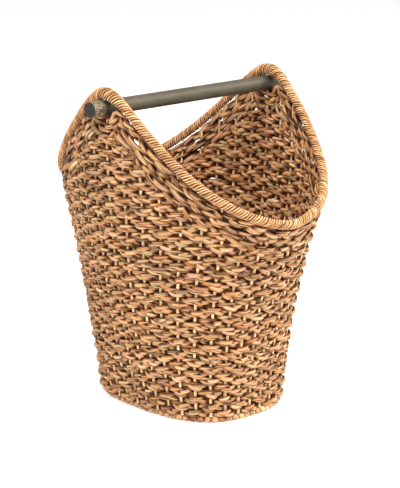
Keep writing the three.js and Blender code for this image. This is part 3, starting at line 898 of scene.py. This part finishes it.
def leaf_group():
    """Colour, roughness and fibre height of dried leaf, from the strand and daylight attributes."""
    tree = bpy.data.node_groups.new("dried_leaf", "ShaderNodeTree")
    sizes = {
        "Leaf Length": 50 * MM,
        "Leaf Width": 4.5 * MM,
        "Hollow": 0.06,
        "Shade": 1.0,
        "Pale": 0.0,
        "Cracks": 0.0,
    }
    for label, default in sizes.items():
        socket = tree.interface.new_socket(label, in_out="INPUT", socket_type="NodeSocketFloat")
        socket.default_value = default
    for label, kind in (("Color", "Color"), ("Roughness", "Float"), ("Height", "Float")):
        tree.interface.new_socket(label, in_out="OUTPUT", socket_type="NodeSocket" + kind)
    graph = Graph(tree)
    given = graph.node("NodeGroupInput").outputs
    strand = graph.node("ShaderNodeAttribute", attribute_name="strand").outputs["Vector"]
    daylight = graph.node("ShaderNodeAttribute", attribute_name="daylight").outputs["Fac"]
    place = graph.node("ShaderNodeTexCoord").outputs["Object"]

    length = graph.math("DIVIDE", 1.0, given["Leaf Length"])
    width = graph.math("DIVIDE", 1.0, given["Leaf Width"])
    leaf = graph.vector("MULTIPLY", strand, graph.combine(length, width, width))
    cells = graph.node("ShaderNodeTexVoronoi", {"Vector": leaf, "Scale": 1.0, "Randomness": 0.9})
    draws = graph.node("ShaderNodeSeparateColor", (cells.outputs["Color"],)).outputs
    tone = tones_of(graph, draws[0], LEAF_TONES)
    straw = graph.vector("SUBTRACT", STRAW, tone)
    leaf_color = graph.vector("ADD", tone, graph.scaled(straw, given["Pale"]))

    fibre = graph.noise(graph.vector("MULTIPLY", strand, FIBRE_WAVES), 1.0, detail=3.0)
    blotch = graph.noise(graph.vector("MULTIPLY", strand, BLOTCH_WAVES), 1.0, detail=3.0)
    patch = graph.noise(place, PATCH_WAVES, detail=2.0)
    light = graph.stretched(fibre, times=0.55, plus=0.55)
    for mask, strength, least in ((blotch, 0.5, 0.8), (patch, 0.4, 0.85), (draws[1], 0.5, 0.75)):
        light = graph.product(light, graph.stretched(mask, strength, least))
    crack = graph.noise(graph.vector("MULTIPLY", strand, CRACK_WAVES), 1.0)
    crack = graph.blend(1.0, graph.ramp(crack, *CRACK_RAMP), given["Cracks"])
    light = graph.product(light, graph.product(crack, given["Shade"]))

    # Painted shade: where daylight is low the colour is darker and warmer
    lit = graph.blend(given["Hollow"], 1.0, daylight)
    green = graph.math("POWER", lit, HOLLOW_GREEN)
    blue = graph.math("POWER", lit, HOLLOW_BLUE)
    depth = graph.combine(lit, green, blue)
    shaded = graph.vector("MULTIPLY", graph.scaled(leaf_color, light), depth)
    rough = graph.stretched(fibre, times=0.25, plus=0.5)
    height = graph.stretched(fibre, 1 - BLOTCH_HEIGHT, graph.product(blotch, BLOTCH_HEIGHT))
    graph.node("NodeGroupOutput", (shaded, rough, height))
    return tree


def new_material(name):
    """A material with an empty tree, and the graph that fills it."""
    material = bpy.data.materials.new(name)
    material.use_nodes = True
    material.node_tree.nodes.clear()
    return material, Graph(material.node_tree)


def finish_material(graph, inputs):
    surface = graph.node("ShaderNodeBsdfPrincipled", inputs)
    graph.node("ShaderNodeOutputMaterial", (surface.outputs[0],))


def leaf_material(name, group):
    material, graph = new_material(name)
    leaf = graph.node("ShaderNodeGroup", node_tree=group)
    for label, value in LEAVES[name].items():
        leaf.inputs[label].default_value = value
    inputs = {
        "Base Color": leaf.outputs["Color"],
        "Roughness": leaf.outputs["Roughness"],
        "Normal": bump(graph, leaf.outputs["Height"], strength=0.5, distance=0.6 * MM),
        "Specular IOR Level": 0.18,
    }
    finish_material(graph, inputs)
    return material


def rod_material():
    material, graph = new_material("aged_metal")
    place = graph.node("ShaderNodeTexCoord").outputs["Object"]
    along = graph.node("ShaderNodeSeparateXYZ", (place,)).outputs[0]
    speck = graph.noise(place, SPECK_WAVES, detail=4.0)
    cloud_place = graph.vector("MULTIPLY", place, CLOUD_SHAPE)
    cloud = graph.noise(cloud_place, CLOUD_WAVES, detail=3.0)

    # Painted shadow: the rod is darkened where it passes under the eyes' arches
    from_middle = graph.math("ABSOLUTE", along)
    into_eye = graph.ramp(from_middle, *EYE_SHADOW_STARTS)
    out_of_eye = graph.ramp(from_middle, *EYE_SHADOW_ENDS)
    eye_shadow = graph.product(graph.math("SUBTRACT", into_eye, out_of_eye), EYE_SHADOW_STRENGTH)
    unshadowed = graph.math("SUBTRACT", 1.0, eye_shadow)
    # Painted sheen: the near end is lighter and carries painted highlight glints
    sheen = graph.ramp(along, *SHEEN_END, "LINEAR")

    mix = graph.stretched(speck, 1 - CLOUD_SHARE, graph.product(cloud, CLOUD_SHARE))
    mix = graph.stretched(sheen, SHEEN_LIGHTER, mix)
    tone = tones_of(graph, mix, ROD_TONES)
    glint = graph.product(graph.ramp(speck, *GLINT_RAMP, "LINEAR"), sheen)
    inputs = {
        "Base Color": graph.vector("ADD", graph.scaled(tone, unshadowed), graph.scaled(GLINT, glint)),
        "Roughness": graph.stretched(speck, times=0.3, plus=0.45),
        "Metallic": 0.45,
        "Specular IOR Level": 0.3,
        "Normal": bump(graph, speck, strength=0.25, distance=0.3 * MM),
    }
    finish_material(graph, inputs)
    return material


def plug_material():
    material, graph = new_material("dark_plug")
    place = graph.node("ShaderNodeTexCoord").outputs["Object"]
    grain = graph.noise(place, PLUG_GRAIN_WAVES, detail=4.0)
    red = graph.stretched(grain, times=0.08, plus=-0.02)
    color = graph.combine(red, graph.product(red, PLUG_GREEN), graph.product(red, PLUG_BLUE))
    inputs = {
        "Base Color": color,
        "Roughness": 0.55,
        "Specular IOR Level": 0.35,
        "Normal": bump(graph, grain, strength=0.2, distance=0.2 * MM),
    }
    finish_material(graph, inputs)
    return material


# Pieces


def new_object(name, data):
    made = bpy.data.objects.new(name, data)
    bpy.context.scene.collection.objects.link(made)
    return made


def store_column(mesh, name, kind, values):
    """Puts a value on each point of a mesh."""
    column = mesh.attributes.new(name, kind, "POINT")
    field = "vector" if kind == "FLOAT_VECTOR" else "value"
    column.data.foreach_set(field, np.array(values, np.float32).ravel())


def path_mesh(name, paths, first_rope=0):
    """An object that holds paths as chains of edges, with what the trees read at each point."""
    edges = []
    ropes = []
    start = 0
    for index, path in enumerate(paths):
        edges += [(start + i, start + i + 1) for i in range(len(path) - 1)]
        ropes += [first_rope + index] * len(path)
        start += len(path)
    places, outwards, swells, swings = zip(*[point for path in paths for point in path])
    mesh = bpy.data.meshes.new(name)
    mesh.from_pydata([tuple(place) for place in places], edges, [])
    store_column(mesh, "outward", "FLOAT_VECTOR", [tuple(outward) for outward in outwards])
    store_column(mesh, "swell", "FLOAT", swells)
    store_column(mesh, "swing", "FLOAT", swings)
    store_column(mesh, "rope", "FLOAT", ropes)
    return new_object(name, mesh)


def grow(name, paths, tree, values, stands_for, first_rope=0):
    """Runs a tree on paths and keeps the result as a plain piece of the basket."""
    source = path_mesh(name + "_paths", paths, first_rope)
    modifier = source.modifiers.new("grow", "NODES")
    modifier.node_group = tree
    for item in tree.interface.items_tree:
        if item.in_out == "INPUT" and item.name in values:
            modifier[item.identifier] = values[item.name]
    evaluated = source.evaluated_get(bpy.context.evaluated_depsgraph_get())
    mesh = bpy.data.meshes.new_from_object(evaluated)
    mesh.name = name
    bpy.data.objects.remove(source)
    mesh.shade_smooth()
    piece = new_object(name, mesh)
    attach(piece, "basket")
    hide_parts(*stands_for)


# What the rope tree is given for a single round strand
ONE_STRAND = {
    "Plies": 1,
    "Plaited": 0.0,
    "Edge Shade": 0.0,
    "Ply Thickness": 1.0,
    "Ply Width": 1.0,
    "Looseness": 0.0,
    "Swing Shade": 0.0,
}


def make_side(tree, leaf):
    rows = woven_rows()
    first = 0
    for band in range(SIDE_BANDS):
        name = f"woven_side_{band + 1}"
        paths = [path for height, path in rows if int(height / ROWS_TOP * SIDE_BANDS) == band]
        grow(name, paths, tree, {"Material": leaf}, ["side_weave"], first)
        first += len(paths)


def make_border(tree, leaf):
    values = {
        "Lay": BORDER_LAY,
        "Depth": BORDER_DEPTH,
        "Height": BORDER_HEIGHT,
        "Edge Shade": 0.95,
        "Crease": 0.55,
        "Wander": 2.2,
        "Looseness": 0.3,
        "Swing Shade": 0.6,
        "Material": leaf,
    }
    for index, path in enumerate(border_paths()):
        node = f"border_rope_{index + 1}"
        name = node + "_strands"
        grow(name, [path], tree, values, [node], BORDER_NUMBER + index)


def make_uprights(tree, cane):
    values = ONE_STRAND | {
        "Crease": 0.2,
        "Depth": UPRIGHT_DEPTH,
        "Height": UPRIGHT_WIDTH,
        "Sides": 7,
        "Unevenness": 0.2,
        "Material": cane,
    }
    nodes = [f"stake_{i + 1:02d}" for i in range(STAKES)]
    grow("uprights", upright_paths(), tree, values, nodes, UPRIGHT_NUMBER)


def make_foot(tree, leaf):
    values = ONE_STRAND | {
        "Crease": 0.64,
        "Pinch Shade": 1.0,
        "Wander": 0.0,
        "Kink": 0.0,
        "Depth": FOOT_WIDTH,
        "Height": FOOT_HEIGHT * BEAD_SQUEEZE,
        "Sides": 10,
        "Unevenness": 0.12,
        "Material": leaf,
    }
    grow("foot_ring", [foot_path()], tree, values, ["foot_rope"], FOOT_NUMBER)


def make_floor(tree, leaf):
    values = {
        "Swing Shade": 0.0,
        "Depth": FLOOR_DEPTH,
        "Height": FLOOR_WIDTH,
        "Sides": 6,
        "Material": leaf,
    }
    grow("woven_floor", floor_paths(), tree, values, ["base_mat"], FLOOR_NUMBER)


def make_rim(twine_maker, rope_maker, twine, shade_core):
    nodes = ["rim_binding_back", "rim_binding_front", "rim_winding_far", "rim_winding_near"]
    path = rim_path()
    grow("rim_twine", [path], twine_maker, {"Material": twine}, nodes)
    # A core that fills the twine, dark as painted shade in the gaps between its wraps
    values = ONE_STRAND | {
        "Crease": 0.2,
        "Wander": 0.0,
        "Kink": 0.0,
        "Depth": 2 * TWINE_LIE,
        "Height": 2 * TWINE_LIE,
        "Sides": 10,
        "Unevenness": 0.0,
        "Material": shade_core,
    }
    grow("rim_shade_core", [path], rope_maker, values, nodes)


def paint(nodes, material):
    for node in nodes:
        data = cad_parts[node].data
        data.materials.clear()
        data.materials.append(material)


def make_basket():
    group = leaf_group()
    leaves = {name: leaf_material(name, group) for name in LEAVES}
    rope = rope_tree()
    make_side(rope, leaves["plaited_leaf"])
    make_border(rope, leaves["border_leaf"])
    make_uprights(rope, leaves["cane"])
    make_foot(rope, leaves["bead_leaf"])
    make_floor(rope, leaves["plaited_leaf"])
    make_rim(twine_tree(), rope, leaves["straw_twine"], leaves["cane_in_painted_shade"])
    paint(["rim_hoop"], leaves["cane_in_painted_shade"])
    paint(["rod_tube"], rod_material())
    paint(["rod_plug_near", "rod_plug_far"], plug_material())


# Camera, floor and light

AIM_HEIGHT = 180 * MM
CAMERA_AZIMUTH = -43.284
CAMERA_ELEVATION = 14.993
CAMERA_DISTANCE = 2292.5 * MM
FOCAL_PIXELS = 1757.2
PHOTO_SIZE = (400, 488)
AIM_PIXEL = (190.64, 261.71)
SENSOR = 36
NEAREST_SEEN = 0.05
FARTHEST_SEEN = 50
WORLD_LIGHT = 0.5
GROUND_HALF = 8.0
GROUND_COLOR = (0.86, 0.86, 0.86, 1)
GROUND_GLOW = 0.45

# Place and width of each lamp in metres, and its power in watts
LAMPS = {
    "key": ((1.6, -1.7, 1.8), 1.2, 68),
    "front": ((-1.7, -1.2, 2.2), 1.4, 38),
    "top": ((-0.6, -0.5, 2.7), 1.4, 52),
    "back": ((0.8, 2.2, 1.9), 1.4, 16),
}


def turn_to(thing, direction):
    """Turns a camera or lamp to look in a direction."""
    thing.rotation_mode = "QUATERNION"
    thing.rotation_quaternion = direction.to_track_quat("-Z", "Y")


def make_camera():
    azimuth = math.radians(CAMERA_AZIMUTH)
    elevation = math.radians(CAMERA_ELEVATION)
    level = math.cos(elevation)
    back = Vector((math.sin(azimuth) * level, -math.cos(azimuth) * level, math.sin(elevation)))
    data = bpy.data.cameras.new("camera")
    camera = new_object("camera", data)
    camera.location = Vector((0, 0, AIM_HEIGHT)) + back * CAMERA_DISTANCE
    turn_to(camera, -back)
    data.sensor_width = SENSOR
    data.lens = FOCAL_PIXELS / PHOTO_SIZE[1] * SENSOR
    data.shift_x = (PHOTO_SIZE[0] / 2 - AIM_PIXEL[0]) / PHOTO_SIZE[1]
    data.shift_y = (AIM_PIXEL[1] - PHOTO_SIZE[1] / 2) / PHOTO_SIZE[1]
    data.clip_start = NEAREST_SEEN
    data.clip_end = FARTHEST_SEEN
    bpy.context.scene.camera = camera


def make_ground():
    mesh = bpy.data.meshes.new("floor")
    half = GROUND_HALF
    corners = [(-half, -half, 0), (half, -half, 0), (half, half, 0), (-half, half, 0)]
    mesh.from_pydata(corners, [], [(0, 1, 2, 3)])
    floor = new_object("floor", mesh)
    material, graph = new_material("pale_floor")
    path = graph.node("ShaderNodeLightPath").outputs
    seen = graph.math("MAXIMUM", path["Is Camera Ray"], path["Is Glossy Ray"])
    matt = graph.node("ShaderNodeBsdfDiffuse", {"Color": GROUND_COLOR})
    glow = graph.node("ShaderNodeEmission", {"Strength": graph.product(seen, GROUND_GLOW)})
    both = graph.node("ShaderNodeAddShader", (matt.outputs[0], glow.outputs[0]))
    graph.node("ShaderNodeOutputMaterial", (both.outputs[0],))
    mesh.materials.append(material)


def make_world():
    world = bpy.data.worlds.new("studio")
    bpy.context.scene.world = world
    world.use_nodes = True
    world.node_tree.nodes.clear()
    graph = Graph(world.node_tree)
    path = graph.node("ShaderNodeLightPath").outputs
    seen = graph.math("MAXIMUM", path["Is Camera Ray"], path["Is Transmission Ray"])
    strength = graph.stretched(seen, 1 - WORLD_LIGHT, WORLD_LIGHT)
    sky = graph.node("ShaderNodeBackground", {"Color": (1, 1, 1, 1), "Strength": strength})
    graph.node("ShaderNodeOutputWorld", (sky.outputs[0],))


def make_lamps():
    for name, (place, width, power) in LAMPS.items():
        data = bpy.data.lights.new(name, "AREA")
        data.shape = "DISK"
        data.size = width
        data.energy = power
        lamp = new_object(name, data)
        lamp.location = place
        turn_to(lamp, Vector((0, 0, AIM_HEIGHT)) - Vector(place))


make_camera()
make_ground()
make_world()
make_lamps()
make_basket()
bpy.context.scene.view_settings.view_transform = "Standard"
